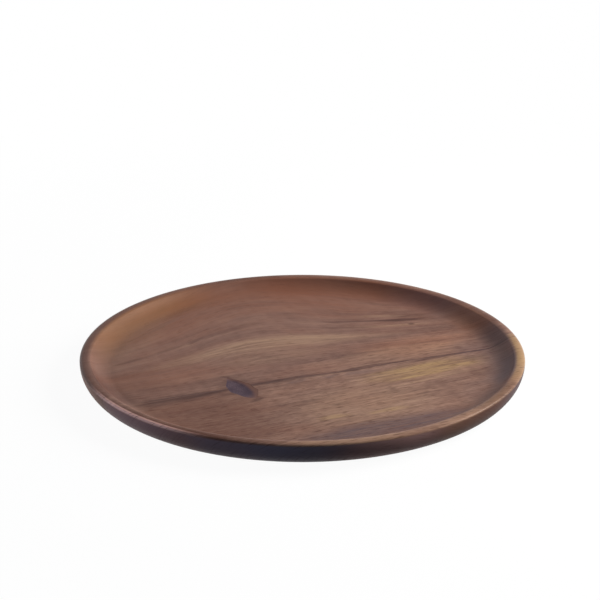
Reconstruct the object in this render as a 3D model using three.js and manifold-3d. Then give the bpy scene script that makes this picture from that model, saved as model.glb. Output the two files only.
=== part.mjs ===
// Round wooden serving plate: two acacia boards glued edge to edge and turned to a shallow dish.
// Millimetres, +Z up. The origin is the centre of the base, and X runs along the grain and the glue line.
import * as THREE from "three";
import { mergeVertices } from "three/addons/utils/BufferGeometryUtils.js";
import Module from "manifold-3d";

const wasm = await Module();
wasm.setup();

// Turned dish: its outside, its well and its rim
const plateDiameter = 305;
const floorThickness = 10;
const wellDepth = 8.7;
const rimWidth = 6; // from the middle of the rim's inner edge out to the widest circle
const rimCrown = 8; // radius of the rim's rounded top
const rimOuterRadius = 1.5;
const rimInnerRadius = 2;
const wallFlare = 17.5; // how far the outer wall leans out, from the base's edge to the widest circle
const coveReach = 15.5; // from the floor's edge out to the middle of the rim's inner edge

// Edge joint between the boards
const jointOffset = -22; // where the joint lies across the plate, from the centre
const glueThickness = 0.2;

// Open knot beside the joint, filled flush with the floor
const knotAlong = -54; // along the joint, from the plate's centre
const knotAcross = -1.5; // from the joint to the middle of the knot
const knotLength = 42;
const knotWidth = 18;
const knotDepth = 4;
const knotTilt = 8; // degrees that the knot leans from square to the joint
const fillerClearance = 0.3; // between the filler and the side of its pocket

// Facets of the round stretches
const turnSegments = 120;
const wallSegments = 9;
const edgeSegments = 3; // each round edge of the rim
const crownSegments = 4;
const coveSegments = 7;
const knotSegments = 10;

// Sizes that follow from these
const plateRadius = plateDiameter / 2;
const plateHeight = floorThickness + wellDepth;
const baseRadius = plateRadius - wallFlare;
// The rim's crown runs into the round edges on both sides of it with no corner, which sets their heights.
const innerEdge = new THREE.Vector2(plateRadius - rimWidth, 0);
const outerEdge = new THREE.Vector2(plateRadius - rimOuterRadius, 0);
const crownCentre = new THREE.Vector2((innerEdge.x + outerEdge.x) / 2, plateHeight - rimCrown);
const innerTurn = Math.asin((crownCentre.x - innerEdge.x) / (rimCrown - rimInnerRadius));
const outerTurn = Math.asin((outerEdge.x - crownCentre.x) / (rimCrown - rimOuterRadius));
innerEdge.y = crownCentre.y + (rimCrown - rimInnerRadius) * Math.cos(innerTurn);
outerEdge.y = crownCentre.y + (rimCrown - rimOuterRadius) * Math.cos(outerTurn);
// The cove rises from the floor and runs into the rim's inner edge with no corner, which sets its radius.
const floorRadius = innerEdge.x - coveReach;
const edgeRise = innerEdge.y - floorThickness;
const coveRadius = (coveReach ** 2 + edgeRise ** 2 - rimInnerRadius ** 2) / (2 * (edgeRise + rimInnerRadius));
const coveCentre = new THREE.Vector2(floorRadius, floorThickness + coveRadius);
const coveTurn = Math.atan2(coveReach, coveCentre.y - innerEdge.y);

// Acacia in the two tones of the boards, the cured glue and the dark filler
const materials = {
  wideBoard: new THREE.MeshStandardMaterial({ color: 0x7d5c4c, roughness: 0.5, metalness: 0 }),
  narrowBoard: new THREE.MeshStandardMaterial({ color: 0x866551, roughness: 0.5, metalness: 0 }),
  glue: new THREE.MeshStandardMaterial({ color: 0x4a2f2a, roughness: 0.6, metalness: 0 }),
  filler: new THREE.MeshStandardMaterial({ color: 0x4b4146, roughness: 0.45, metalness: 0 }),
};

// A closed geometry as a solid that can be joined and cut.
function solidFrom(geometry) {
  const bare = geometry.clone().deleteAttribute("normal").deleteAttribute("uv");
  const merged = mergeVertices(bare);
  const corners = merged.index.array;
  const triVerts = [];
  for (let i = 0; i < corners.length; i += 3) {
    const [a, b, c] = corners.subarray(i, i + 3);
    // Where the turned profile meets the axis, one side of a facet has no length.
    if (a !== b && b !== c && c !== a) triVerts.push(a, b, c);
  }
  const vertProperties = new Float32Array(merged.attributes.position.array);
  const mesh = new wasm.Mesh({ numProp: 3, vertProperties, triVerts: new Uint32Array(triVerts) });
  return new wasm.Manifold(mesh);
}

// A solid's faces as a geometry that a mesh can show.
function geometryFrom(solid) {
  const { vertProperties, triVerts } = solid.getMesh();
  const geometry = new THREE.BufferGeometry();
  geometry.setAttribute("position", new THREE.BufferAttribute(vertProperties, 3));
  geometry.setIndex(new THREE.BufferAttribute(triVerts, 1));
  geometry.computeVertexNormals();
  return geometry;
}

// Points along an arc of a circle or an ellipse, from one angle to another.
function arc(centre, reachX, reachY, from, to, segments) {
  return Array.from({ length: segments + 1 }, (_, i) => {
    const angle = from + ((to - from) * i) / segments;
    return new THREE.Vector2(centre.x + reachX * Math.cos(angle), centre.y + reachY * Math.sin(angle));
  });
}

// The whole dish before it is split: base, outer wall, rim, cove and floor, turned about Z.
function turnedDish() {
  const down = -Math.PI / 2;
  const up = Math.PI / 2;
  const wallCentre = new THREE.Vector2(baseRadius, outerEdge.y);
  const wall = arc(wallCentre, wallFlare, outerEdge.y, down, 0, wallSegments);
  const outer = arc(outerEdge, rimOuterRadius, rimOuterRadius, 0, up - outerTurn, edgeSegments);
  const crown = arc(crownCentre, rimCrown, rimCrown, up - outerTurn, up + innerTurn, crownSegments);
  const inner = arc(innerEdge, rimInnerRadius, rimInnerRadius, up + innerTurn, up + coveTurn, edgeSegments);
  const cove = arc(coveCentre, coveRadius, coveRadius, down + coveTurn, down, coveSegments);
  const axisBelow = new THREE.Vector2(0, 0);
  const axisAbove = new THREE.Vector2(0, floorThickness);
  const rim = [...outer.slice(1), ...crown.slice(1), ...inner.slice(1)];
  const profile = [axisBelow, ...wall, ...rim, ...cove.slice(1), axisAbove];
  const lathe = new THREE.LatheGeometry(profile, turnSegments);
  return solidFrom(lathe.rotateX(Math.PI / 2));
}

// A slab across the plate from one Y to another, deep and wide enough to hold the whole dish.
function slab(fromY, toY) {
  const box = new THREE.BoxGeometry(2 * plateDiameter, toY - fromY, 4 * plateHeight);
  return solidFrom(box.translate(0, (fromY + toY) / 2, 0));
}

// The knot's outline: two equal arcs that meet in points, grown outwards all round by an amount.
function knotOutline(grow) {
  const sideRadius = (knotLength ** 2 + knotWidth ** 2) / (4 * knotWidth);
  const sideOffset = sideRadius - knotWidth / 2;
  const radius = sideRadius + grow;
  const half = Math.acos(sideOffset / radius);
  const right = arc(new THREE.Vector2(-sideOffset, 0), radius, radius, -half, half, knotSegments);
  const left = arc(new THREE.Vector2(sideOffset, 0), radius, radius, Math.PI - half, Math.PI + half, knotSegments);
  return new THREE.Shape([...right, ...left.slice(1, -1)]);
}

// A prism of the knot's outline that stands on the pocket's floor.
function knotPrism(grow, height) {
  return new THREE.ExtrudeGeometry(knotOutline(grow), { depth: height, bevelEnabled: false });
}

// Puts something made about the knot's own middle where the knot lies in the plate.
function placeKnot(object) {
  object.position.set(knotAlong, jointOffset + knotAcross, floorThickness - knotDepth);
  object.rotation.z = THREE.MathUtils.degToRad(knotTilt);
  object.updateMatrix();
  return object;
}

function piece(name, geometry, material) {
  const mesh = new THREE.Mesh(geometry, material);
  mesh.name = name;
  return mesh;
}

const place = placeKnot(new THREE.Object3D());
const pocket = solidFrom(knotPrism(fillerClearance, plateHeight).applyMatrix4(place.matrix));
const dish = turnedDish().subtract(pocket);
const glueFront = jointOffset - glueThickness / 2;
const glueBack = jointOffset + glueThickness / 2;

const wideBoard = dish.intersect(slab(glueBack, plateDiameter));
const narrowBoard = dish.intersect(slab(-plateDiameter, glueFront));
const glueLine = dish.intersect(slab(glueFront, glueBack));

const plate = new THREE.Group();
plate.name = "serving_plate";
plate.add(
  piece("wide_board", geometryFrom(wideBoard), materials.wideBoard),
  piece("narrow_board", geometryFrom(narrowBoard), materials.narrowBoard),
  piece("glue_line", geometryFrom(glueLine), materials.glue),
  placeKnot(piece("knot_filler", knotPrism(0, knotDepth), materials.filler)),
);

export default plate;
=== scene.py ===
"""Round acacia serving plate: turned boards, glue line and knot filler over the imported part."""

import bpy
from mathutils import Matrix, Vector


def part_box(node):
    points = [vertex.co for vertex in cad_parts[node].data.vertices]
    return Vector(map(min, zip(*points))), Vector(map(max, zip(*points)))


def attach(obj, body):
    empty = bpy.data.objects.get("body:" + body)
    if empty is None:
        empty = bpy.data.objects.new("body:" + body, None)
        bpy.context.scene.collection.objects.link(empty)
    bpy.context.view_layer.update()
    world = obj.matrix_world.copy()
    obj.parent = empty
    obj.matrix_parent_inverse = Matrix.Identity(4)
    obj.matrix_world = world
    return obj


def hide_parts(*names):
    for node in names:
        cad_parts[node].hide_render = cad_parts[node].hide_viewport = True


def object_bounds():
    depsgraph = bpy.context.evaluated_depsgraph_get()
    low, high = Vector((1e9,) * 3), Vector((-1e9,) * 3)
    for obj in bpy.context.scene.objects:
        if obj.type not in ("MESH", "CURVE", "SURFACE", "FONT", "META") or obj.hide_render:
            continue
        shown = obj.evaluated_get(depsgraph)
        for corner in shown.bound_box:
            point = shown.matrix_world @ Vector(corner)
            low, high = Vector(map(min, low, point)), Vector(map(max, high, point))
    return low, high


bl_info = {
    "name": "Acacia Serving Plate",
    "version": (1, 0, 0),
    "blender": (4, 5, 0),
    "location": "View3D > Sidebar > Plate",
    "description": "Models a round serving plate turned from two edge-glued acacia boards",
    "category": "Add Mesh",
}

import math
from collections import namedtuple

import bpy
from bpy.props import FloatProperty, FloatVectorProperty, IntProperty, PointerProperty
from mathutils import Matrix, Vector

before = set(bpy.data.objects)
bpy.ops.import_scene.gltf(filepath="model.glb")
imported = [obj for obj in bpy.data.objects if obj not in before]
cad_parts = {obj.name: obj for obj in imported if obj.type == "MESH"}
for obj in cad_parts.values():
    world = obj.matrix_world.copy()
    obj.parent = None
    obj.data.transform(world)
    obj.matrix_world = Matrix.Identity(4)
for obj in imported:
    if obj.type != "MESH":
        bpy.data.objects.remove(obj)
CAD_LOW, CAD_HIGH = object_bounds()
GLUE_LOW, GLUE_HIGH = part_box("glue_line")
FILLER_LOW, FILLER_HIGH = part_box("knot_filler")

MM = 0.001
PICTURE_WIDTH = 600  # pixels across the photograph's frame
SENSOR_WIDTH = 36.0  # millimetres across the camera's sensor


def linear(hex_colour):
    """A colour written as sRGB hex, as the linear red, green and blue that Blender works in."""
    parts = [int(hex_colour[i : i + 2], 16) / 255 for i in (1, 3, 5)]
    return tuple(p / 12.92 if p <= 0.04045 else ((p + 0.055) / 1.055) ** 2.4 for p in parts)


def colour(name, hex_colour, description):
    """A colour property whose default is written as sRGB hex."""
    return FloatVectorProperty(
        name=name, description=description, default=linear(hex_colour), subtype="COLOR", min=0, max=1
    )


def length(name, default, description):
    """A length property, in metres."""
    return FloatProperty(
        name=name, description=description, default=default, min=0, unit="LENGTH", precision=5
    )


def angle(name, degrees, description):
    """An angle property, written in degrees."""
    return FloatProperty(
        name=name, description=description, default=math.radians(degrees), subtype="ANGLE"
    )


def number(name, default, description, subtype="NONE", low=0.0):
    """A number property that can't go below a limit, with a subtype where one fits."""
    return FloatProperty(
        name=name, description=description, default=default, subtype=subtype, min=low
    )


class PlateSizes(bpy.types.PropertyGroup):
    """Sizes of the turned dish and of the knot in its floor."""

    diameter: length("Diameter", CAD_HIGH.x - CAD_LOW.x, "Across the widest circle")
    height: length("Height", CAD_HIGH.z, "From the base to the top of the rim")
    floor_height: length("Floor height", FILLER_HIGH.z, "From the base to the floor of the well")
    rim_width: length("Rim width", 6 * MM, "From the rim's inner edge out to the widest circle")
    rim_crown: length("Rim crown", 8 * MM, "Radius of the rim's rounded top")
    rim_outer: length("Outer edge radius", 1.5 * MM, "Round edge from the rim's top to the outer wall")
    rim_inner: length("Inner edge radius", 2 * MM, "Round edge from the rim's top to the cove")
    wall_flare: length("Wall flare", 17.5 * MM, "How far the outer wall leans out from the base's edge")
    cove_reach: length("Cove reach", 15.5 * MM, "From the floor's edge out to the rim's inner edge")
    knot_length: length("Knot length", 42 * MM, "Between the knot's two points")
    knot_width: length("Knot width", 18 * MM, "Across the knot's middle")
    knot_tilt: angle("Knot tilt", 8, "How far the knot leans from square to the joint")
    filler_sag: length("Filler sag", 0.15 * MM, "How far the filler's face has shrunk below the floor")
    turn_steps: IntProperty(
        name="Turn steps", description="Facets round the turned dish", default=240, min=24, step=4
    )


class PlateColours(bpy.types.PropertyGroup):
    """Colours of the two boards, their marks with painted light and shade among them, the glue and the
    filler.
    """

    wide_dark: colour("Wide board dark", "#553b33", "Late wood of the wide board")
    wide_middle: colour("Wide board middle", "#76574c", "Main tone of the wide board")
    wide_light: colour("Wide board light", "#8c6c5c", "Early wood of the wide board")
    narrow_dark: colour("Narrow board dark", "#5c423a", "Late wood of the narrow board")
    narrow_middle: colour("Narrow board middle", "#7c5d50", "Main tone of the narrow board")
    narrow_light: colour("Narrow board light", "#957565", "Early wood of the narrow board")
    # Pale streak is also painted light on the floor by the left back wall, filling the side lamp's
    # shadow from the rim.
    pale_and_painted_light: colour("Pale streak and painted light", "#9c7d66", "Light bands of the arched figure, and painted light on the floor by the left back wall")
    warm: colour("Warm wood", "#7d4a34", "Redder wood at the left, the back and the right back cove")
    # Bright warm wood is also painted light on the cove's right back wall, where the key lamp's shadow
    # falls.
    ember_and_painted_light: colour("Bright warm wood and painted light", "#976348", "Orange-brown wood at the right and in the back cove, and painted light at the cove's right back")
    sheen: colour("Sheen", "#ffdccb", "Tint of the oiled wood's gloss")
    # This colour is a painted highlight on the arris at the left front, and painted light on the front
    # wall.
    pink_and_painted_highlight: colour("Painted highlight and pink", "#e9b5a6", "Pale pinkish painted highlight on the arris, and painted light on the front wall")
    gold: colour("Sapwood gold", "#a5875c", "Golden sapwood beside the joint and on the rim")
    honey: colour("Honey wood", "#7c5832", "Yellow-brown wood in the cove at the left back")
    # Besides dark streaks, pores and darker wood, this colour is painted shade in the cove at the left
    # and the right front, and on the right front of the outer wall.
    shade: colour("Dark streak", "#452b25", "Dark streaks, pores and the darker wood of the rim, and painted shade in the cove and on the outer wall")
    stain: colour("Joint stain", "#3a221f", "Darkened wood along the joint and in the pin knot")
    # Besides grey patches by the joint, this colour is painted shade in the right cove, on the floor by
    # the right and the front walls, and on the right front of the outer wall.
    violet_and_painted_shade: colour("Violet wood and painted shade", "#473d45", "Grey-violet wood by the joint, and painted shade at the right and the front")
    # Mauve and slate are painted light and shade: mauve where the outer wall catches light at the left
    # front and the front, slate for the cool shade on the front wall and in the cove at the right back.
    painted_light_mauve: colour("Mauve painted light", "#85696b", "Reddish grey painted light on the front of the outer wall")
    painted_shade_slate: colour("Slate painted shade", "#716b78", "Cool grey-brown painted shade on the outer wall and in the right cove")
    glue: colour("Glue", "#351d1a", "Cured glue in the joint")
    filler: colour("Filler", "#3f323b", "Dark filler in the knot")
    filler_grain: colour("Filler grain", "#58484f", "Wood dust in the filler")
    knot_edge: colour("Knot edge", "#6d4f46", "Stained wood under thin filler")


class PlateStudio(bpy.types.PropertyGroup):
    """Camera and lamps, as the photograph was taken."""

    azimuth: angle("Azimuth", -22.0, "Camera's turn round the plate from looking along Y")
    elevation: angle("Elevation", 22.97, "Camera's height above the horizon")
    distance: length("Distance", 1.8, "From the camera to the centre of the base")
    lens: number("Lens", 156.7, "Focal length in millimetres", "DISTANCE_CAMERA", low=1)
    right_px: number("Right", 2.35, "From the picture's middle to the base", "PIXEL", low=-PICTURE_WIDTH)
    down_px: number("Down", 77.31, "From the picture's middle to the base", "PIXEL", low=-PICTURE_WIDTH)
    lamp_distance: length("Lamp distance", 1.3, "From the lamps to the plate")
    key_power: number("Key", 33.5, "Power of the lamp at the right", "POWER")
    side_power: number("Side", 4.5, "Power of the lamp at the left", "POWER")
    cool_power: number("Cool", 3.5, "Power of the low cool lamp", "POWER")
    ambient: number("Ambient", 0.07, "Strength of the light from all round")


# A mark in a board is a soft oval of one colour that follows the grain. Along and across are where its
# middle lies on the floor, in millimetres from the plate's centre. Then come its length and width in
# millimetres, its turn from the grain in degrees, its colour and its strength.
Mark = namedtuple("Mark", "along across length width turn colour strength")
MARK_FADE = 0.7  # share of the way from a mark's edge to its middle over which it gains its strength

WIDE_MARKS = (
    # broad tones: redder at the left and the back, brighter at the right
    Mark(-105, 15, 130, 90, 0, "warm", 0.30),
    Mark(-60, 105, 160, 120, 0, "warm", 0.30),
    Mark(40, 112, 160, 90, 0, "warm", 0.25),
    Mark(90, 5, 130, 60, 0, "ember_and_painted_light", 0.30),
    Mark(75, -6, 130, 40, 0, "pale_and_painted_light", 0.25),
    # the pale arch over the middle
    Mark(-10, 45, 230, 34, 0, "pale_and_painted_light", 0.50),
    Mark(-20, 47.5, 80, 14, 0, "pale_and_painted_light", 0.30),
    Mark(30, 40, 90, 12, 0, "pale_and_painted_light", 0.35),
    Mark(-15, 22, 110, 40, 0, "pale_and_painted_light", 0.20),
    # the dark streak at the upper right, with paler wood on both sides of it
    Mark(69, 57, 80, 7, 0, "shade", 0.70),
    Mark(97, 49.5, 50, 9, 0, "shade", 0.90),
    Mark(106, 54, 46, 18, 0, "shade", 0.55),
    Mark(84, 62, 40, 10, 0, "pale_and_painted_light", 0.35),
    Mark(86, 42, 70, 10, 0, "pale_and_painted_light", 0.45),
    Mark(55, 50, 70, 6, 0, "shade", 0.35),
    # a trail of small marks that rises over the left half
    Mark(-105, 49, 40, 9, 0, "shade", 0.45),
    Mark(-78, 58, 36, 8, 0, "shade", 0.35),
    Mark(-55, 66.5, 22, 9, 0, "shade", 0.50),
    Mark(-64, 60, 16, 5, 0, "pale_and_painted_light", 0.40),
    Mark(-32, 75, 40, 12, 0, "shade", 0.30),
    Mark(-12, 82, 36, 12, 0, "shade", 0.30),
)

NARROW_MARKS = (
    # broad tones: lighter in the middle, redder and darker at the left
    Mark(15, -80, 130, 90, 0, "pale_and_painted_light", 0.35),
    Mark(-95, -60, 120, 130, 0, "warm", 0.35),
    Mark(-85, -75, 110, 90, 0, "shade", 0.40),
    Mark(-90, -40, 120, 50, 0, "shade", 0.30),
    # golden sapwood beside the joint, its pale lower edge and the dark wood under that
    Mark(74, -40, 126, 34, 0, "gold", 0.40),
    Mark(70, -34, 80, 8, 0, "gold", 0.35),
    Mark(88, -41, 72, 8, 0, "gold", 0.38),
    Mark(78, -48, 90, 7, 0, "gold", 0.35),
    Mark(75, -56, 80, 7, 5, "pale_and_painted_light", 0.70),
    Mark(80, -65, 60, 12, 4, "shade", 0.30),
    Mark(106, -58, 40, 18, 0, "shade", 0.40),
    # small eye in the grain
    Mark(39, -64, 12, 8, 0, "shade", 0.35),
    # golden flecks, and grey-violet painted shade on the floor by the front wall
    Mark(-14, -91, 34, 9, 0, "gold", 0.30),
    Mark(24, -93, 34, 8, 0, "gold", 0.30),
    Mark(15, -118, 170, 34, 0, "violet_and_painted_shade", 0.60),
)

JOINT_MARKS = (
    # stained wood along the joint, a little to either side of it
    Mark(-15, -21.0, 100, 8, 0, "stain", 0.60),
    Mark(40, -20.5, 110, 6, 0, "stain", 0.70),
    Mark(105, -22.3, 110, 6, 0, "stain", 0.80),
    Mark(-90, -23.5, 110, 10, 0, "stain", 0.74),
    Mark(-104, -29.0, 56, 12, 0, "stain", 0.42),
    # grey patches below the line
    Mark(-13, -27.0, 24, 9, 0, "violet_and_painted_shade", 0.30),
    Mark(8, -28.0, 18, 9, 0, "violet_and_painted_shade", 0.30),
    Mark(30, -27.0, 34, 9, 0, "violet_and_painted_shade", 0.30),
    # darkened wood round the knot and off its ends
    Mark(-36, -20, 34, 9, 0, "stain", 0.45),
    Mark(-77, -25, 26, 8, 0, "stain", 0.45),
    Mark(-52, -46, 18, 9, 0, "stain", 0.45),
    Mark(-57, -1.5, 10, 9, 0, "stain", 0.60),
    Mark(-56, -22, 36, 60, 4, "stain", 0.42),
)

# Marks that lie in the cove only, placed straight on the plate: honey wood at the left back,
# orange-brown wood at the back and red wood at the back right. Bright orange-brown at the right back is
# painted light where the key lamp's shadow falls. Grey-violet at the right, slate at the right back, and
# dark at the right front and at the left under the rim are painted shade.
COVE_MARKS = (
    Mark(-85, 108, 190, 110, 36, "honey", 0.40),
    Mark(-132, 45, 50, 80, 0, "shade", 0.08),
    Mark(-45, 132, 150, 60, 0, "ember_and_painted_light", 0.10),
    Mark(60, 125, 140, 60, -25, "warm", 0.40),
    Mark(110, 85, 110, 80, -50, "warm", 0.45),
    Mark(118, 62, 90, 60, -60, "painted_shade_slate", 0.12),
    Mark(138, 25, 46, 70, 0, "ember_and_painted_light", 0.30),
    Mark(133, -16, 50, 70, 0, "violet_and_painted_shade", 0.40),
    Mark(122, -62, 60, 90, 0, "violet_and_painted_shade", 0.60),
    Mark(88, -111, 90, 50, 38, "shade", 0.40),
    Mark(-139, -6, 56, 60, 0, "shade", 0.58),
    Mark(-150, 14, 40, 66, 0, "shade", 0.60),
)

# Marks on the floor that are placed straight on the plate: a pin knot, a paler patch by the left back
# wall that is painted light filling the side lamp's shadow from the rim, darker floor by the left wall,
# and grey-violet painted shade by the right wall.
FLOOR_MARKS = (
    Mark(100, 40, 7, 6, 0, "stain", 0.60),
    Mark(-90, 85, 130, 36, 46, "pale_and_painted_light", 0.14),
    Mark(-112, 2, 50, 42, 0, "shade", 0.20),
    Mark(119, -24, 36, 70, 0, "violet_and_painted_shade", 0.22),
    Mark(98, -84, 80, 36, 46, "violet_and_painted_shade", 0.18),
)

# Marks that lie on the rim's top only, placed straight on the plate.
WIDE_RIM_MARKS = (
    Mark(-135, 50, 150, 200, 0, "shade", 0.60),
    Mark(-85, 122, 130, 90, 0, "shade", 0.45),
    Mark(143, 30, 60, 120, 0, "shade", 0.40),
    Mark(10, 148, 190, 90, 0, "shade", 0.25),
)

NARROW_RIM_MARKS = (
    Mark(140, -50, 60, 80, 0, "gold", 0.50),
    Mark(126, -82, 70, 60, 0, "gold", 0.35),
    Mark(60, -135, 110, 80, 0, "pale_and_painted_light", 0.35),
    Mark(-30, -148, 130, 50, 0, "pale_and_painted_light", 0.50),
    Mark(94, -118, 64, 64, 0, "shade", 0.45),
    Mark(96, -114, 70, 56, 0, "gold", 0.10),
    Mark(-130, -80, 120, 140, 0, "shade", 0.45),
    Mark(-98, -113, 70, 60, 0, "shade", 0.35),
)

# Marks that lie on the outer wall only, placed straight on the plate. All are painted light and shade:
# darker and grey-violet colour at the right front and a cool slate grey at the front stand in for
# shade, and lighter mauve and pink at the left front and the front stand in for the light the wall
# catches.
NARROW_WALL_MARKS = (
    Mark(-138, -58, 90, 120, 0, "painted_light_mauve", 0.75),
    Mark(108, -112, 170, 150, 0, "shade", 0.80),
    Mark(118, -94, 110, 90, 0, "violet_and_painted_shade", 0.50),
    Mark(-96, -118, 130, 100, 0, "painted_light_mauve", 0.70),
    Mark(-94, -118, 90, 80, 0, "painted_shade_slate", 0.40),
    Mark(-48, -142, 130, 80, -15, "painted_shade_slate", 0.85),
    Mark(-2, -151, 110, 70, 0, "painted_light_mauve", 0.95),
    Mark(0, -151, 80, 70, 0, "pink_and_painted_highlight", 0.18),
    Mark(62, -138, 90, 70, 0, "shade", 0.40),
)

# Marks on the arris between the rim's top and the outer wall: a whitish pink painted highlight at the
# left front.
ARRIS_MARKS = (
    Mark(-142, -58, 130, 130, 0, "pink_and_painted_highlight", 0.95),
)

# How a board's growth lines arch over the floor. From the start line to the end line, in millimetres
# across, the arch grows by a share of every millimetre. Its crest lies along the board by a fixed
# amount and by a drift for every millimetre across, and the spread says how wide it is. The tilt leans
# straight grain, and the offset picks another part of the log.
Figure = namedtuple("Figure", "start end growth crest drift spread tilt offset")

WIDE_FIGURE = Figure(
    start=-1, end=80, growth=1.58, crest=-24.7, drift=0.24, spread=125, tilt=0.0, offset=(0, 0, 0)
)
NARROW_FIGURE = Figure(
    start=-1, end=80, growth=0.0, crest=0, drift=0, spread=125, tilt=0.05, offset=(3.1, 1.7, 4.0)
)


def straightened(figure, along, across):
    """Where a point of the floor lies across the growth lines, with their arch and tilt taken out."""
    beside = (along - figure.crest - figure.drift * across) / figure.spread
    arch = (min(max(across, figure.start), figure.end) - figure.start) * figure.growth
    return across + arch * (1 - 1 / (1 + beside**2)) - figure.tilt * along


# Grain layers from broad to fine: millimetres along and across the grain, weight in the tone at the
# left back and at the right front of the plate, and detail. Back and front lie along Y, with a slant
# for every millimetre of X.
Layer = namedtuple("Layer", "along across back front detail")

GRAIN_LAYERS = (
    Layer(110, 28, 0.44, 0.50, 2.0),
    Layer(70, 8, 0.28, 0.40, 3.0),
    Layer(42, 2.4, 0.25, 0.56, 3.0),
    Layer(14, 12, 0.18, 0.22, 2.0),
    Layer(6, 40, 0.10, 0.10, 1.0),
    Layer(6, 1.4, 0.08, 0.50, 2.0),
)
BACK_MM = 75
FRONT_MM = -35
SLANT = -0.35

# Tones of the grain, from 0 to 1, that have a board's dark, middle and light colour
DARK_TONE = 0.28
MIDDLE_TONE = 0.5
LIGHT_TONE = 0.74

# Where each part of the dish starts to show and where it is full, in millimetres
RIM_FADE = (-1.0, 1.5)  # outwards from the rim's inner edge
TOP_FADE = (-2.5, -1.3)  # upwards from the rim's top
WALL_FADE = (-5.0, 3.0)  # outwards from the base's edge
COVE_FADE = (-9.0, 9.0)  # outwards from the floor's edge
ARRIS_FADE = (-0.7, 0.3)  # outwards from the middle of the rim's outer edge
OUTSIDE_BELOW = -0.5  # upwards from the floor: what lies lower is the plate's outside

# Sockets of a Mix node by number: its share, the numbers or colours that it mixes, and what comes out
SHARE = 0
NUMBER_A = 2
NUMBER_B = 3
COLOUR_A = 6
COLOUR_B = 7
MIXED_COLOUR = 2
MIXED_NUMBER = 0


def add_node(tree, kind, inputs=None, **settings):
    """Adds a node with its settings, and feeds its inputs with values or with other nodes' outputs."""
    node = tree.nodes.new(kind)
    for name, value in settings.items():
        setattr(node, name, value)
    for socket, source in (inputs or {}).items():
        if isinstance(source, bpy.types.NodeSocket):
            tree.links.new(source, node.inputs[socket])
        else:
            node.inputs[socket].default_value = source
    return node


def new_material(name):
    """An empty node material and its tree."""
    material = bpy.data.materials.new(name)
    material.use_nodes = True
    material.node_tree.nodes.clear()
    return material, material.node_tree


def opaque(value):
    """A colour's red, green and blue with a full alpha."""
    return (*value, 1.0)


def painted(tree, place, shown, figure, colours, marks, mask):
    """A colour under soft oval marks, which a figure places if there is one and a mask scales."""
    for mark in marks:
        across = straightened(figure, mark.along, mark.across) if figure else mark.across
        oval = add_node(tree, "ShaderNodeMapping", {
            "Vector": place,
            "Location": (mark.along, across, 0),
            "Rotation": (0, 0, math.radians(mark.turn)),
            "Scale": (mark.length / 2, mark.width / 2, 1),
        }, vector_type="TEXTURE").outputs[0]
        spot = add_node(tree, "ShaderNodeTexGradient", {"Vector": oval}, gradient_type="SPHERICAL")
        amount = add_node(tree, "ShaderNodeMapRange", {
            "Value": spot.outputs["Fac"], "From Max": MARK_FADE, "To Max": mark.strength,
        }, interpolation_type="SMOOTHSTEP").outputs[0]
        share = add_node(tree, "ShaderNodeMath", {0: amount, 1: mask}, operation="MULTIPLY").outputs[0]
        shown = add_node(tree, "ShaderNodeMix", {
            SHARE: share, COLOUR_A: shown, COLOUR_B: opaque(getattr(colours, mark.colour)),
        }, data_type="RGBA").outputs[MIXED_COLOUR]
    return shown


# Parts of the turned dish, each a mask from 0 to 1, and the place on the plate with its height left out
Regions = namedtuple("Regions", "place rim wall steep inside cove arris")


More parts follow.
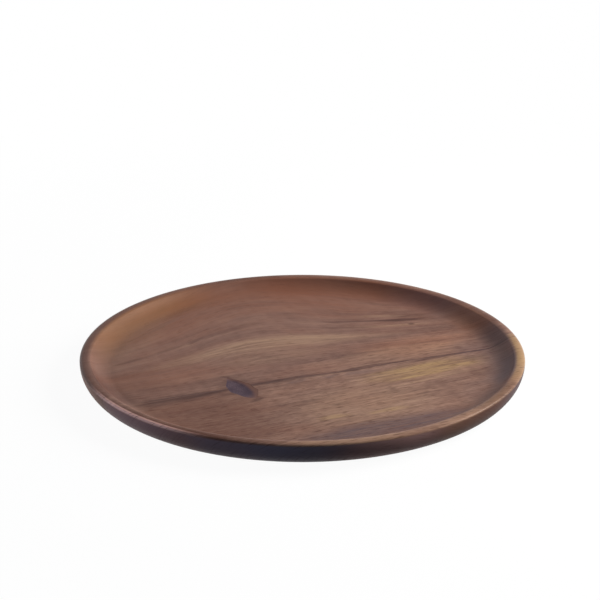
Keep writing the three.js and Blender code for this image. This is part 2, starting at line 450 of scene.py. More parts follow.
def turned_regions(tree, sizes, millimetres):
    """Masks for the rim's top, the outside, its steep wall, the inside, the cove and the arris."""
    rim_mm = (sizes.diameter / 2 - sizes.rim_width) / MM
    edge_mm = (sizes.diameter / 2 - sizes.rim_outer) / MM
    base_mm = (sizes.diameter / 2 - sizes.wall_flare) / MM
    floor_mm = rim_mm - sizes.cove_reach / MM
    top_mm = (sizes.height - sizes.floor_height) / MM
    level = add_node(tree, "ShaderNodeSeparateXYZ", {0: millimetres}).outputs["Z"]
    place = add_node(tree, "ShaderNodeVectorMath", {
        0: millimetres, 1: (1, 1, 0),
    }, operation="MULTIPLY").outputs[0]
    reach = add_node(tree, "ShaderNodeVectorMath", {0: place}, operation="LENGTH").outputs["Value"]
    ring = add_node(tree, "ShaderNodeMapRange", {
        "Value": reach, "From Min": rim_mm + RIM_FADE[0], "From Max": rim_mm + RIM_FADE[1],
    }, interpolation_type="SMOOTHSTEP").outputs[0]
    upper = add_node(tree, "ShaderNodeMapRange", {
        "Value": level, "From Min": top_mm + TOP_FADE[0], "From Max": top_mm + TOP_FADE[1],
    }).outputs[0]
    rim = add_node(tree, "ShaderNodeMath", {0: ring, 1: upper}, operation="MULTIPLY").outputs[0]
    below = add_node(tree, "ShaderNodeMath", {
        0: level, 1: OUTSIDE_BELOW,
    }, operation="LESS_THAN").outputs[0]
    outside = add_node(tree, "ShaderNodeMath", {0: ring, 1: below}, operation="MAXIMUM").outputs[0]
    wall = add_node(tree, "ShaderNodeMath", {0: outside, 1: rim}, operation="SUBTRACT").outputs[0]
    beyond = add_node(tree, "ShaderNodeMapRange", {
        "Value": reach, "From Min": base_mm + WALL_FADE[0], "From Max": base_mm + WALL_FADE[1],
    }).outputs[0]
    steep = add_node(tree, "ShaderNodeMath", {0: wall, 1: beyond}, operation="MULTIPLY").outputs[0]
    inside = add_node(tree, "ShaderNodeMath", {0: 1.0, 1: outside}, operation="SUBTRACT").outputs[0]
    rising = add_node(tree, "ShaderNodeMapRange", {
        "Value": reach, "From Min": floor_mm + COVE_FADE[0], "From Max": floor_mm + COVE_FADE[1],
    }, interpolation_type="SMOOTHSTEP").outputs[0]
    cove = add_node(tree, "ShaderNodeMath", {0: rising, 1: inside}, operation="MULTIPLY").outputs[0]
    outer = add_node(tree, "ShaderNodeMapRange", {
        "Value": reach, "From Min": edge_mm + ARRIS_FADE[0], "From Max": edge_mm + ARRIS_FADE[1],
    }, interpolation_type="SMOOTHSTEP").outputs[0]
    arris = add_node(tree, "ShaderNodeMath", {0: outer, 1: upper}, operation="MULTIPLY").outputs[0]
    return Regions(place, rim, wall, steep, inside, cove, arris)


def growth_lines(tree, figure, millimetres):
    """The place along and across a board's growth lines, which are straightened and waver a little."""
    parts = add_node(tree, "ShaderNodeSeparateXYZ", {0: millimetres}).outputs
    along = parts["X"]
    # The rings lean through the board's thickness, so the walls and the underside show other cuts.
    lean = 1.0
    leaned = add_node(tree, "ShaderNodeMath", {
        0: parts["Z"], 1: lean, 2: parts["Y"],
    }, operation="MULTIPLY_ADD").outputs[0]

    # The arch is taken out as in straightened(): across is the same all along one growth line.
    crest = add_node(tree, "ShaderNodeMath", {
        0: leaned, 1: figure.drift, 2: figure.crest,
    }, operation="MULTIPLY_ADD").outputs[0]
    beside = add_node(tree, "ShaderNodeMath", {0: along, 1: crest}, operation="SUBTRACT").outputs[0]
    share = add_node(tree, "ShaderNodeMath", {
        0: beside, 1: figure.spread,
    }, operation="DIVIDE").outputs[0]
    square = add_node(tree, "ShaderNodeMath", {0: share, 1: share}, operation="MULTIPLY").outputs[0]
    more = add_node(tree, "ShaderNodeMath", {0: square, 1: 1.0}, operation="ADD").outputs[0]
    drop = add_node(tree, "ShaderNodeMath", {0: square, 1: more}, operation="DIVIDE").outputs[0]
    arch = add_node(tree, "ShaderNodeMapRange", {
        "Value": leaned, "From Min": figure.start, "From Max": figure.end,
        "To Max": (figure.end - figure.start) * figure.growth,
    }).outputs[0]
    level = add_node(tree, "ShaderNodeMath", {
        0: arch, 1: drop, 2: leaned,
    }, operation="MULTIPLY_ADD").outputs[0]
    straight = add_node(tree, "ShaderNodeMath", {
        0: along, 1: -figure.tilt, 2: level,
    }, operation="MULTIPLY_ADD").outputs[0]

    # The lines waver by a few millimetres over a hand's width.
    waver_mm = 6.0
    along_mm = 90
    across_mm = 45
    wander = add_node(tree, "ShaderNodeMapping", {
        "Vector": millimetres,
        "Location": figure.offset,
        "Scale": (1 / along_mm, 1 / across_mm, 1 / across_mm),
    }).outputs[0]
    waver = add_node(tree, "ShaderNodeTexNoise", {"Vector": wander, "Scale": 1.0, "Detail": 2.0})
    swing = add_node(tree, "ShaderNodeMapRange", {
        "Value": waver.outputs["Fac"], "To Min": -waver_mm / 2, "To Max": waver_mm / 2,
    }).outputs[0]
    across = add_node(tree, "ShaderNodeMath", {0: straight, 1: swing}, operation="ADD").outputs[0]
    return add_node(tree, "ShaderNodeCombineXYZ", {"X": along, "Y": across}).outputs[0]


def wood_streaks(tree, grain, along_mm, across_mm, detail, offset=(0, 0, 0), **noise):
    """Noise drawn out along the grain, in streaks of a real length and width."""
    run = add_node(tree, "ShaderNodeMapping", {
        "Vector": grain, "Location": offset, "Scale": (1 / along_mm, 1 / across_mm, 1),
    }).outputs[0]
    return add_node(tree, "ShaderNodeTexNoise", {
        "Vector": run, "Scale": 1.0, "Detail": detail, **noise,
    }).outputs


def grain_tone(tree, figure, grain, ahead):
    """The layers of grain, added up about the middle tone."""
    tone = MIDDLE_TONE
    for layer in GRAIN_LAYERS:
        streaks = wood_streaks(
            tree, grain, layer.along, layer.across, layer.detail, figure.offset,
            Roughness=0.55, Distortion=0.25,
        )["Fac"]
        weight = add_node(tree, "ShaderNodeMapRange", {
            **ahead, "To Min": layer.back, "To Max": layer.front,
        }).outputs[0]
        shift = add_node(tree, "ShaderNodeMath", {0: streaks, 1: 0.5}, operation="SUBTRACT").outputs[0]
        tone = add_node(tree, "ShaderNodeMath", {
            0: shift, 1: weight, 2: tone,
        }, operation="MULTIPLY_ADD").outputs[0]
    return tone


def board_colour(tree, tones, tone):
    """A board's own colours, from late wood over its main tone to early wood."""
    ramp = add_node(tree, "ShaderNodeValToRGB", {"Fac": tone})
    dark, middle, light = tones
    ramp.color_ramp.elements[0].position = DARK_TONE
    ramp.color_ramp.elements[0].color = opaque(dark)
    ramp.color_ramp.elements[1].position = LIGHT_TONE
    ramp.color_ramp.elements[1].color = opaque(light)
    ramp.color_ramp.elements.new(MIDDLE_TONE).color = opaque(middle)
    return ramp.outputs["Color"]


def frayed(tree, grain):
    """The place on the growth lines, pulled about so that the edges of marks fray along the grain."""
    fray_mm = 7.0
    drawn_out = 4  # how many times further they fray along the grain than across it
    frays = wood_streaks(tree, grain, along_mm=22, across_mm=5, detail=3.0)["Color"]
    pull = add_node(tree, "ShaderNodeVectorMath", {
        0: frays, 1: (0.5, 0.5, 0.5),
    }, operation="SUBTRACT").outputs[0]
    return add_node(tree, "ShaderNodeVectorMath", {
        0: pull, 1: (drawn_out * fray_mm, fray_mm, 0), 2: grain,
    }, operation="MULTIPLY_ADD").outputs[0]


def acacia(name, sizes, colours, tones, figure, marks, rim_marks, wall_marks):
    """Acacia, turned, sanded and oiled: streaked brown with a satin gloss that dulls in its pores."""
    material, tree = new_material(name)
    place = add_node(tree, "ShaderNodeTexCoord").outputs["Object"]
    # millimetres, with the floor of the well at zero
    millimetres = add_node(tree, "ShaderNodeMapping", {
        "Vector": place, "Scale": (1 / MM,) * 3, "Location": (0, 0, -sizes.floor_height / MM),
    }).outputs[0]
    parts = add_node(tree, "ShaderNodeSeparateXYZ", {0: millimetres}).outputs
    diagonal = add_node(tree, "ShaderNodeMath", {
        0: parts["X"], 1: SLANT, 2: parts["Y"],
    }, operation="MULTIPLY_ADD").outputs[0]
    ahead = {"Value": diagonal, "From Min": BACK_MM, "From Max": FRONT_MM}
    regions = turned_regions(tree, sizes, millimetres)
    grain = growth_lines(tree, figure, millimetres)

    # The streaks are weaker on the outer wall and in the cove, where the tool has cut across them.
    lost_on_wall = 0.65
    lost_in_cove = 0.45
    outer_loss = add_node(tree, "ShaderNodeMath", {
        0: regions.steep, 1: lost_on_wall,
    }, operation="MULTIPLY").outputs[0]
    loss = add_node(tree, "ShaderNodeMath", {
        0: regions.cove, 1: lost_in_cove, 2: outer_loss,
    }, operation="MULTIPLY_ADD").outputs[0]
    streaks = grain_tone(tree, figure, grain, ahead)
    tone = add_node(tree, "ShaderNodeMix", {
        SHARE: loss, NUMBER_A: streaks, NUMBER_B: MIDDLE_TONE,
    }).outputs[MIXED_NUMBER]
    shown = board_colour(tree, tones, tone)

    # Hue drifts between plain and redder wood in patches.
    patches = wood_streaks(
        tree, grain, along_mm=60, across_mm=22, detail=3.0, offset=figure.offset
    )["Fac"]
    redder = add_node(tree, "ShaderNodeMapRange", {
        "Value": patches, "From Min": 0.45, "From Max": 0.7, "To Max": 0.2,
    }).outputs[0]
    shown = add_node(tree, "ShaderNodeMix", {
        SHARE: redder, COLOUR_A: shown, COLOUR_B: opaque(colours.warm),
    }, data_type="RGBA").outputs[MIXED_COLOUR]

    # Marks of the figure are streaky too, and frayed at their edges.
    streak = wood_streaks(
        tree, grain, along_mm=40, across_mm=2.4, detail=3.0, offset=figure.offset
    )["Fac"]
    streaky = add_node(tree, "ShaderNodeMapRange", {
        "Value": streak, "From Min": 0.3, "From Max": 0.7, "To Min": 0.4, "To Max": 1.5,
    }).outputs[0]
    shown = painted(tree, frayed(tree, grain), shown, figure, colours, marks, streaky)

    # The cove, the floor, the rim's top, the outer wall and the arris have marks of their own; those on
    # the outer wall and the arris, and some in the cove and on the floor, are painted light and shade.
    for own_marks, mask in (
        (COVE_MARKS, regions.cove),
        (FLOOR_MARKS, regions.inside),
        (rim_marks, regions.rim),
        (wall_marks, regions.wall),
        (ARRIS_MARKS, regions.arris),
    ):
        shown = painted(tree, regions.place, shown, None, colours, own_marks, mask)

    # Pores: short dark vessel lines. Real ones are about 0.2 mm across, drawn wider here to show.
    vessels = wood_streaks(tree, grain, along_mm=9, across_mm=0.9, detail=1.0)["Fac"]
    open_pore = add_node(tree, "ShaderNodeMapRange", {
        "Value": vessels, "From Min": 0.58, "From Max": 0.72,
    }).outputs[0]
    pore = add_node(tree, "ShaderNodeMix", {
        SHARE: loss, NUMBER_A: open_pore, NUMBER_B: 0.0,
    }).outputs[MIXED_NUMBER]
    deep = add_node(tree, "ShaderNodeMapRange", {**ahead, "To Min": 0.28, "To Max": 0.75}).outputs[0]
    pore_depth = add_node(tree, "ShaderNodeMath", {0: pore, 1: deep}, operation="MULTIPLY").outputs[0]
    shown = add_node(tree, "ShaderNodeMix", {
        SHARE: pore_depth, COLOUR_A: shown, COLOUR_B: opaque(colours.shade),
    }, data_type="RGBA").outputs[MIXED_COLOUR]

    # Pores are dull, and hands have burnished the arris.
    satin = 0.48
    dull = 0.62
    burnished = 0.30
    plain = add_node(tree, "ShaderNodeMapRange", {
        "Value": pore, "To Min": satin, "To Max": dull,
    }).outputs[0]
    rough = add_node(tree, "ShaderNodeMix", {
        SHARE: regions.arris, NUMBER_A: plain, NUMBER_B: burnished,
    }).outputs[MIXED_NUMBER]
    relief = add_node(tree, "ShaderNodeMath", {0: tone, 1: pore}, operation="SUBTRACT").outputs[0]
    bump = add_node(tree, "ShaderNodeBump", {
        "Height": relief, "Strength": 0.12, "Distance": 0.3 * MM,
    }).outputs[0]
    surface = add_node(tree, "ShaderNodeBsdfPrincipled", {
        "Base Color": shown, "Roughness": rough, "Normal": bump, "IOR": 1.5,
        "Specular IOR Level": 0.08, "Specular Tint": opaque(colours.sheen),
    })
    add_node(tree, "ShaderNodeOutputMaterial", {"Surface": surface.outputs[0]})
    return material


def cured_glue(colours):
    """Wood glue, cured and sanded flush: a dark red-brown line with a dull gloss."""
    material, tree = new_material("Cured wood glue")
    place = add_node(tree, "ShaderNodeTexCoord").outputs["Object"]
    blob_mm = 6.0
    blobs = add_node(tree, "ShaderNodeTexNoise", {
        "Vector": place, "Scale": 1 / (blob_mm * MM), "Detail": 2.0,
    }).outputs["Fac"]
    shown = add_node(tree, "ShaderNodeMix", {
        SHARE: blobs, COLOUR_A: opaque(colours.glue), COLOUR_B: opaque(colours.stain),
    }, data_type="RGBA").outputs[MIXED_COLOUR]
    rough = add_node(tree, "ShaderNodeMapRange", {
        "Value": blobs, "To Min": 0.45, "To Max": 0.6,
    }).outputs[0]
    surface = add_node(tree, "ShaderNodeBsdfPrincipled", {
        "Base Color": shown, "Roughness": rough, "IOR": 1.47, "Specular IOR Level": 0.35,
    })
    add_node(tree, "ShaderNodeOutputMaterial", {"Surface": surface.outputs[0]})
    return material


def resin_filler(sizes, colours):
    """Resin and wood dust, sanded and oiled: dark grey-violet with paler grit, browner at its edge."""
    material, tree = new_material("Resin and wood dust filler")
    place = add_node(tree, "ShaderNodeTexCoord").outputs["Object"]
    cloud_mm = 9.0
    grit_mm = 0.9  # coarser than real dust, so that it shows
    clouds = add_node(tree, "ShaderNodeTexNoise", {
        "Vector": place, "Scale": 1 / (cloud_mm * MM), "Detail": 3.0,
    }).outputs
    grit = add_node(tree, "ShaderNodeTexNoise", {
        "Vector": place, "Scale": 1 / (grit_mm * MM), "Detail": 1.0,
    }).outputs["Fac"]
    both = add_node(tree, "ShaderNodeMath", {
        0: clouds["Fac"], 1: grit,
    }, operation="MULTIPLY").outputs[0]
    amount = add_node(tree, "ShaderNodeMapRange", {
        "Value": both, "From Min": 0.2, "From Max": 0.4,
    }).outputs[0]
    shown = add_node(tree, "ShaderNodeMix", {
        SHARE: amount, COLOUR_A: opaque(colours.filler), COLOUR_B: opaque(colours.filler_grain),
    }, data_type="RGBA").outputs[MIXED_COLOUR]

    # Towards the edge the resin is thin and the stained wood shows through it.
    middle = (FILLER_LOW + FILLER_HIGH) / 2
    core_shift = 3.0 * MM  # from the knot's middle to the middle of the thick core, towards -X
    core_share = 0.62  # half the core's size as a share of the knot's whole size
    wander_mm = 5.0
    pull = add_node(tree, "ShaderNodeVectorMath", {
        0: clouds["Color"], 1: (0.5, 0.5, 0.5),
    }, operation="SUBTRACT").outputs[0]
    moved = add_node(tree, "ShaderNodeVectorMath", {
        0: pull, 1: (wander_mm * MM,) * 3, 2: place,
    }, operation="MULTIPLY_ADD").outputs[0]
    oval = add_node(tree, "ShaderNodeMapping", {
        "Vector": moved,
        "Location": (middle.x - core_shift, middle.y, 0),
        "Rotation": (0, 0, sizes.knot_tilt),
        "Scale": (sizes.knot_width * core_share, sizes.knot_length * core_share, 1),
    }, vector_type="TEXTURE").outputs[0]
    core = add_node(tree, "ShaderNodeTexGradient", {"Vector": oval}, gradient_type="SPHERICAL")
    thin = add_node(tree, "ShaderNodeMapRange", {
        "Value": core.outputs["Fac"], "From Min": 0.1, "From Max": 0.5, "To Min": 1.0, "To Max": 0.0,
    }, interpolation_type="SMOOTHSTEP").outputs[0]
    shown = add_node(tree, "ShaderNodeMix", {
        SHARE: thin, COLOUR_A: shown, COLOUR_B: opaque(colours.knot_edge),
    }, data_type="RGBA").outputs[MIXED_COLOUR]
    rough = add_node(tree, "ShaderNodeMapRange", {
        "Value": grit, "To Min": 0.45, "To Max": 0.65,
    }).outputs[0]
    bump = add_node(tree, "ShaderNodeBump", {
        "Height": clouds["Fac"], "Strength": 0.2, "Distance": 0.3 * MM,
    }).outputs[0]
    surface = add_node(tree, "ShaderNodeBsdfPrincipled", {
        "Base Color": shown, "Roughness": rough, "Normal": bump, "IOR": 1.52,
        "Specular IOR Level": 0.03,
    })
    add_node(tree, "ShaderNodeOutputMaterial", {"Surface": surface.outputs[0]})
    return material


def arc(centre, reach_x, reach_y, start, end, segments):
    """Points along an arc of a circle or an ellipse, both ends included."""
    turns = [start + (end - start) * i / segments for i in range(segments + 1)]
    return [
        Vector((centre[0] + reach_x * math.cos(turn), centre[1] + reach_y * math.sin(turn)))
        for turn in turns
    ]


def dish_profile(sizes):
    """Radius and height round the dish's section, from the base's flat over the rim to the floor's."""
    base_radius = sizes.diameter / 2 - sizes.wall_flare
    # the rim's crown runs into the round edges on both sides of it with no corner
    inner_x = sizes.diameter / 2 - sizes.rim_width
    outer_x = sizes.diameter / 2 - sizes.rim_outer
    crown = Vector(((inner_x + outer_x) / 2, sizes.height - sizes.rim_crown))
    inner_turn = math.asin((crown.x - inner_x) / (sizes.rim_crown - sizes.rim_inner))
    outer_turn = math.asin((outer_x - crown.x) / (sizes.rim_crown - sizes.rim_outer))
    inner = Vector((inner_x, crown.y + (sizes.rim_crown - sizes.rim_inner) * math.cos(inner_turn)))
    outer = Vector((outer_x, crown.y + (sizes.rim_crown - sizes.rim_outer) * math.cos(outer_turn)))
    # the cove leaves the floor level and runs into the rim's inner edge with no corner
    rise = inner.y - sizes.floor_height
    floor_radius = inner.x - sizes.cove_reach
    cove_radius = (sizes.cove_reach**2 + rise**2 - sizes.rim_inner**2) / (2 * (rise + sizes.rim_inner))
    cove = Vector((floor_radius, sizes.floor_height + cove_radius))
    cove_turn = math.atan2(sizes.cove_reach, cove.y - inner.y)
    down = -math.pi / 2
    up = math.pi / 2
    edge_band = 2 * MM  # flat ring that keeps the shading of the flats level
    wall_steps = 24
    edge_steps = 8
    crown_steps = 10
    cove_steps = 20
    points = [Vector((base_radius - edge_band, 0))]
    points += arc((base_radius, outer.y), sizes.wall_flare, outer.y, down, 0, wall_steps)
    points += arc(outer, sizes.rim_outer, sizes.rim_outer, 0, up - outer_turn, edge_steps)[1:]
    points += arc(
        crown, sizes.rim_crown, sizes.rim_crown, up - outer_turn, up + inner_turn, crown_steps
    )[1:]
    points += arc(
        inner, sizes.rim_inner, sizes.rim_inner, up + inner_turn, up + cove_turn, edge_steps
    )[1:]
    points += arc(cove, cove_radius, cove_radius, down + cove_turn, down, cove_steps)[1:]
    points.append(Vector((floor_radius - edge_band, sizes.floor_height)))
    return points


def draw_line(name, points):
    """A new object that is one open line through the points, left in edit mode."""
    # A small plane is merged to one point, and the line is extruded from there.
    bpy.ops.object.select_all(action="DESELECT")
    bpy.ops.mesh.primitive_plane_add(size=2 * MM, location=(0, 0, 0))
    piece = bpy.context.object
    piece.name = name
    piece.data.name = name
    bpy.ops.object.mode_set(mode="EDIT")
    bpy.ops.mesh.select_all(action="SELECT")
    bpy.ops.mesh.merge(type="CENTER")
    bpy.ops.transform.translate(value=points[0])
    for here, after in zip(points, points[1:]):
        bpy.ops.mesh.extrude_region_move(TRANSFORM_OT_translate={"value": after - here})
    return piece


def turned_blank(name, sizes):
    """The whole dish, turned from its section about the plate's axis and left in edit mode."""
    weld = 0.01 * MM  # closes the seam between the first and the last step
    section = [Vector((p.x, 0, p.y)) for p in dish_profile(sizes)]
    piece = draw_line(name, section)
    bpy.ops.mesh.select_all(action="SELECT")
    bpy.ops.mesh.spin(steps=sizes.turn_steps, angle=math.tau, center=(0, 0, 0), axis=(0, 0, 1))
    bpy.ops.mesh.select_all(action="SELECT")
    bpy.ops.mesh.remove_doubles(threshold=weld)
    bpy.ops.mesh.fill_holes(sides=0)
    bpy.ops.mesh.select_all(action="SELECT")
    bpy.ops.mesh.normals_make_consistent(inside=False)
    return piece


def saw(across, keep_beyond):
    """Saws what is being edited along X, and keeps what lies beyond the cut or before it."""
    bpy.ops.mesh.select_all(action="SELECT")
    bpy.ops.mesh.bisect(
        plane_co=(0, across, 0), plane_no=(0, 1, 0), use_fill=True,
        clear_inner=keep_beyond, clear_outer=not keep_beyond,
    )


def knot_outline(sizes, grow):
    """Points round the knot in X and Y: a spindle with uneven sides and a thin upper tip."""
    steps = 24
    belly = 0.85  # below 1, the widest place lies under the middle
    taper = 1.15  # above 1, the two tips are thinner
    # each ripple's share of the reach, its radians along the knot and its multiple of the phase
    ripples = ((0.06, 9, 1), (0.05, 23, 2))
    sides = []
    for side, phase in ((1, 0.4), (-1, 2.1)):
        edge = []
        for i in range(1, steps):
            share = i / steps
            swell = math.sin(math.pi * share**belly) ** taper
            ripple = sum(high * math.sin(rate * share + times * phase) for high, rate, times in ripples)
            reach = sizes.knot_width / 2 * (swell + ripple * swell) + grow
            edge.append(Vector((side * reach, (share - 0.5) * sizes.knot_length)))
        sides.append(edge)
    bottom = Vector((0, -sizes.knot_length / 2 - grow))
    top = Vector((0, sizes.knot_length / 2 + grow))
    points = [bottom, *sides[0], top, *reversed(sides[1])]
    middle = (FILLER_LOW + FILLER_HIGH) / 2
    turn = Matrix.Rotation(sizes.knot_tilt, 2)
    return [turn @ point + middle.to_2d() for point in points]


def knot_prism(name, sizes, grow, top):
    """A prism of the knot's outline from the pocket's bottom to a height, in edit mode, top selected."""
    bottom = FILLER_LOW.z
    outline = [Vector((p.x, p.y, bottom)) for p in knot_outline(sizes, grow)]
    piece = draw_line(name, outline)
    bpy.ops.mesh.select_all(action="SELECT")
    bpy.ops.mesh.edge_face_add()
    bpy.ops.mesh.extrude_region_move(TRANSFORM_OT_translate={"value": (0, 0, top - bottom)})
    return piece


def leave_edit(piece):
    """Faces what is being edited outwards and leaves edit mode."""
    bpy.ops.mesh.select_all(action="SELECT")
    bpy.ops.mesh.normals_make_consistent(inside=False)
    bpy.ops.object.mode_set(mode="OBJECT")
    return piece


def cut_pocket(piece, sizes):
    """Cuts the knot's pocket in a piece with a boolean."""
    gap = 0.02 * MM  # between the filler and the side of its pocket
    above = sizes.height
    cutter = leave_edit(knot_prism("pocket_cutter", sizes, gap, above))
    bpy.ops.object.select_all(action="DESELECT")
    piece.select_set(True)
    bpy.context.view_layer.objects.active = piece
    pocket = piece.modifiers.new("Pocket", "BOOLEAN")
    pocket.operation = "DIFFERENCE"
    pocket.solver = "EXACT"
    pocket.object = cutter
    bpy.ops.object.modifier_apply(modifier=pocket.name)
    bpy.data.objects.remove(cutter)


def hand_over(piece, material, node):
    """Shades a finished piece, gives it its material and lets it stand for its node of the part."""
    smooth_below = math.radians(30)
    bpy.ops.object.select_all(action="DESELECT")
    piece.select_set(True)
    bpy.context.view_layer.objects.active = piece
    bpy.ops.object.shade_smooth_by_angle(angle=smooth_below)
    piece.data.materials.clear()
    piece.data.materials.append(material)
    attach(piece, "root")
    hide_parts(node)


class PLATE_OT_boards(bpy.types.Operator):
    """Turns the two acacia boards, saws them at the joint and cuts the knot's pocket in them"""

    bl_idname = "serving_plate.boards"
    bl_label = "Acacia boards"

    def execute(self, context):
        sizes = context.scene.plate_sizes
        colours = context.scene.plate_colours
        wide_tones = (colours.wide_dark, colours.wide_middle, colours.wide_light)
        narrow_tones = (colours.narrow_dark, colours.narrow_middle, colours.narrow_light)
        wide_wood = acacia(
            "Oiled acacia, arched figure", sizes, colours, wide_tones, WIDE_FIGURE,
            WIDE_MARKS + JOINT_MARKS, WIDE_RIM_MARKS, (),
        )
        narrow_wood = acacia(
            "Oiled acacia, sapwood band", sizes, colours, narrow_tones, NARROW_FIGURE,
            NARROW_MARKS + JOINT_MARKS, NARROW_RIM_MARKS, NARROW_WALL_MARKS,
        )
        wide = turned_blank("wide_acacia_board", sizes)
        saw(GLUE_HIGH.y, keep_beyond=True)
        cut_pocket(leave_edit(wide), sizes)
        hand_over(wide, wide_wood, "wide_board")
        narrow = turned_blank("narrow_acacia_board", sizes)
        saw(GLUE_LOW.y, keep_beyond=False)
        cut_pocket(leave_edit(narrow), sizes)
        hand_over(narrow, narrow_wood, "narrow_board")
        return {"FINISHED"}


class PLATE_OT_glue_line(bpy.types.Operator):
    """Makes the film of cured glue between the boards, flush with them all round"""

    bl_idname = "serving_plate.glue_line"
    bl_label = "Glue line"

    def execute(self, context):
        sizes = context.scene.plate_sizes
        film = turned_blank("glue_film", sizes)
        saw(GLUE_LOW.y, keep_beyond=True)
        saw(GLUE_HIGH.y, keep_beyond=False)
        cut_pocket(leave_edit(film), sizes)
        hand_over(film, cured_glue(context.scene.plate_colours), "glue_line")
        return {"FINISHED"}


class PLATE_OT_knot_filler(bpy.types.Operator):
    """Fills the knot's pocket, with a face that has shrunk a little below the floor"""

    bl_idname = "serving_plate.knot_filler"
    bl_label = "Knot filler"

    def execute(self, context):
        sizes = context.scene.plate_sizes
        lip = 0.5 * MM  # ring by the pocket's side, from the floor down to the shrunken face
        plug = knot_prism("knot_plug", sizes, 0.0, sizes.floor_height)
        bpy.ops.mesh.inset(thickness=lip)
        bpy.ops.transform.translate(value=(0, 0, -sizes.filler_sag))
        leave_edit(plug)
        hand_over(plug, resin_filler(sizes, context.scene.plate_colours), "knot_filler")
        return {"FINISHED"}


def seen_directly(tree):
    """One for rays that show the background: from the camera, in a reflection or through glass."""
    rays = add_node(tree, "ShaderNodeLightPath").outputs
    mirrored = add_node(tree, "ShaderNodeMath", {
        0: rays["Is Camera Ray"], 1: rays["Is Glossy Ray"],
    }, operation="MAXIMUM").outputs[0]
    return add_node(tree, "ShaderNodeMath", {
        0: mirrored, 1: rays["Is Transmission Ray"],
    }, operation="MAXIMUM").outputs[0]


def white_sweep():
    """Studio paper: white to the eye with a faint shadow, and dull grey to the light it throws back."""
    material, tree = new_material("White studio paper")
    place = add_node(tree, "ShaderNodeTexCoord").outputs["Object"]
    shadow_share = 0.05
    shadow_full = 0.25  # metres from the plate's centre, where the shadow starts to fade
    shadow_end = 0.6
    white = opaque(linear("#ffffff"))
    grey = opaque(linear("#3f3f42"))
    reach = add_node(tree, "ShaderNodeVectorMath", {0: place}, operation="LENGTH").outputs["Value"]
    near = add_node(tree, "ShaderNodeMapRange", {
        "Value": reach, "From Min": shadow_full, "From Max": shadow_end,
        "To Min": shadow_share, "To Max": 0.0,
    }, interpolation_type="SMOOTHSTEP").outputs[0]
    glow = add_node(tree, "ShaderNodeEmission", {"Color": white, "Strength": 1.0}).outputs[0]
    paper = add_node(tree, "ShaderNodeBsdfDiffuse", {"Color": white}).outputs[0]
    seen = add_node(tree, "ShaderNodeMixShader", {0: near, 1: glow, 2: paper}).outputs[0]
    dull = add_node(tree, "ShaderNodeBsdfDiffuse", {"Color": grey}).outputs[0]
    eye = seen_directly(tree)
    shown = add_node(tree, "ShaderNodeMixShader", {0: eye, 1: dull, 2: seen}).outputs[0]
    add_node(tree, "ShaderNodeOutputMaterial", {"Surface": shown})
    return material


def studio_world(ambient):
    """A world that is white to the eye and gives a weak cool light from all round."""
    world = bpy.data.worlds.new("Studio")
    world.use_nodes = True
    tree = world.node_tree
    tree.nodes.clear()
    cool = opaque(linear("#cbe1ff"))
    white = opaque(linear("#ffffff"))
    weak = add_node(tree, "ShaderNodeBackground", {"Color": cool, "Strength": ambient}).outputs[0]
    seen = add_node(tree, "ShaderNodeBackground", {"Color": white, "Strength": 1.0}).outputs[0]
    eye = seen_directly(tree)
    shown = add_node(tree, "ShaderNodeMixShader", {0: eye, 1: weak, 2: seen}).outputs[0]
    add_node(tree, "ShaderNodeOutputWorld", {"Surface": shown})
    return world


def direction(turn, rise):
    """A unit vector at an angle round from +X and an angle above the horizon."""
    return Vector((math.cos(turn) * math.cos(rise), math.sin(turn) * math.cos(rise), math.sin(rise)))


def aim(looker, target):
    """Turns a lamp or a camera to look at a point, with its own up axis as near to +Z as it can be."""
    looker.rotation_euler = (target - looker.location).to_track_quat("-Z", "Y").to_euler()


def add_lamp(name, place, size, power, tint):
    """A square soft lamp that looks at the plate."""
    bpy.ops.object.light_add(type="AREA", location=place)
    lamp = bpy.context.object
    lamp.name = name
    lamp.data.name = name
    lamp.data.size = size
    lamp.data.energy = power
    lamp.data.color = linear(tint)
    aim(lamp, Vector((0, 0, CAD_HIGH.z / 2)))


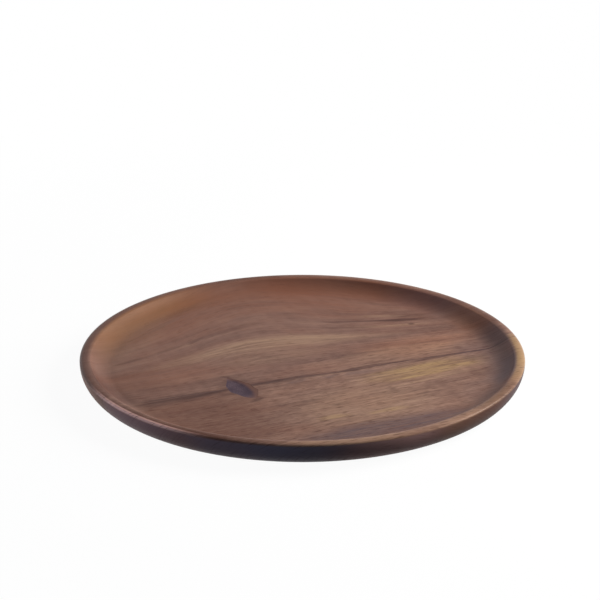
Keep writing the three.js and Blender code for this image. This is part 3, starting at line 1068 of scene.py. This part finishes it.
class PLATE_OT_studio(bpy.types.Operator):
    """Sets up the floor, the soft lamps, the white background and the photograph's camera"""

    bl_idname = "serving_plate.studio"
    bl_label = "Studio"

    def execute(self, context):
        studio = context.scene.plate_studio
        bpy.ops.object.select_all(action="DESELECT")
        paper_size = 8.0
        bpy.ops.mesh.primitive_plane_add(size=paper_size, location=(0, 0, 0))
        paper = context.object
        paper.name = "studio_paper"
        paper.data.materials.append(white_sweep())

        # Each lamp's turn round from the camera's right and its rise in degrees, and its size in metres
        for name, turn, rise, size, power, tint in (
            ("key_lamp", 12, 30, 0.80, studio.key_power, "#fffdf9"),
            ("side_lamp", 165, 14, 0.30, studio.side_power, "#f9f7ff"),
            ("cool_lamp", 205, 12, 0.50, studio.cool_power, "#cbe1ff"),
        ):
            towards = direction(studio.azimuth + math.radians(turn), math.radians(rise))
            add_lamp(name, towards * studio.lamp_distance, size, power, tint)
        context.scene.world = studio_world(studio.ambient)

        away = direction(studio.azimuth - math.pi / 2, studio.elevation)
        bpy.ops.object.camera_add(location=away * studio.distance)
        camera = context.object
        camera.name = "photo_camera"
        camera.data.sensor_width = SENSOR_WIDTH
        camera.data.lens = studio.lens
        # The camera looks past the plate by as much as the plate lies off the picture's middle.
        right = Vector((math.cos(studio.azimuth), math.sin(studio.azimuth), 0))
        up = away.cross(right)
        metres_per_pixel = studio.distance * SENSOR_WIDTH / (studio.lens * PICTURE_WIDTH)
        aim(camera, (up * studio.down_px - right * studio.right_px) * metres_per_pixel)
        context.scene.camera = camera
        context.scene.view_settings.view_transform = "Standard"
        return {"FINISHED"}


class PLATE_PT_sidebar(bpy.types.Panel):
    """Lists what makes the plate, and the values that a user would change"""

    bl_label = "Acacia Serving Plate"
    bl_space_type = "VIEW_3D"
    bl_region_type = "UI"
    bl_category = "Plate"

    def draw(self, context):
        for operator in OPERATORS:
            self.layout.operator(operator.bl_idname)
        scene = context.scene
        for group in (scene.plate_sizes, scene.plate_colours, scene.plate_studio):
            box = self.layout.box()
            for name in group.__annotations__:
                box.prop(group, name)


OPERATORS = (PLATE_OT_boards, PLATE_OT_glue_line, PLATE_OT_knot_filler, PLATE_OT_studio)
CLASSES = (PlateSizes, PlateColours, PlateStudio, *OPERATORS, PLATE_PT_sidebar)


def register():
    for kind in CLASSES:
        bpy.utils.register_class(kind)
    bpy.types.Scene.plate_sizes = PointerProperty(type=PlateSizes)
    bpy.types.Scene.plate_colours = PointerProperty(type=PlateColours)
    bpy.types.Scene.plate_studio = PointerProperty(type=PlateStudio)


def unregister():
    del bpy.types.Scene.plate_studio
    del bpy.types.Scene.plate_colours
    del bpy.types.Scene.plate_sizes
    for kind in reversed(CLASSES):
        bpy.utils.unregister_class(kind)


def main():
    register()
    bpy.ops.serving_plate.boards()
    bpy.ops.serving_plate.glue_line()
    bpy.ops.serving_plate.knot_filler()
    bpy.ops.serving_plate.studio()


if __name__ == "__main__":
    main()
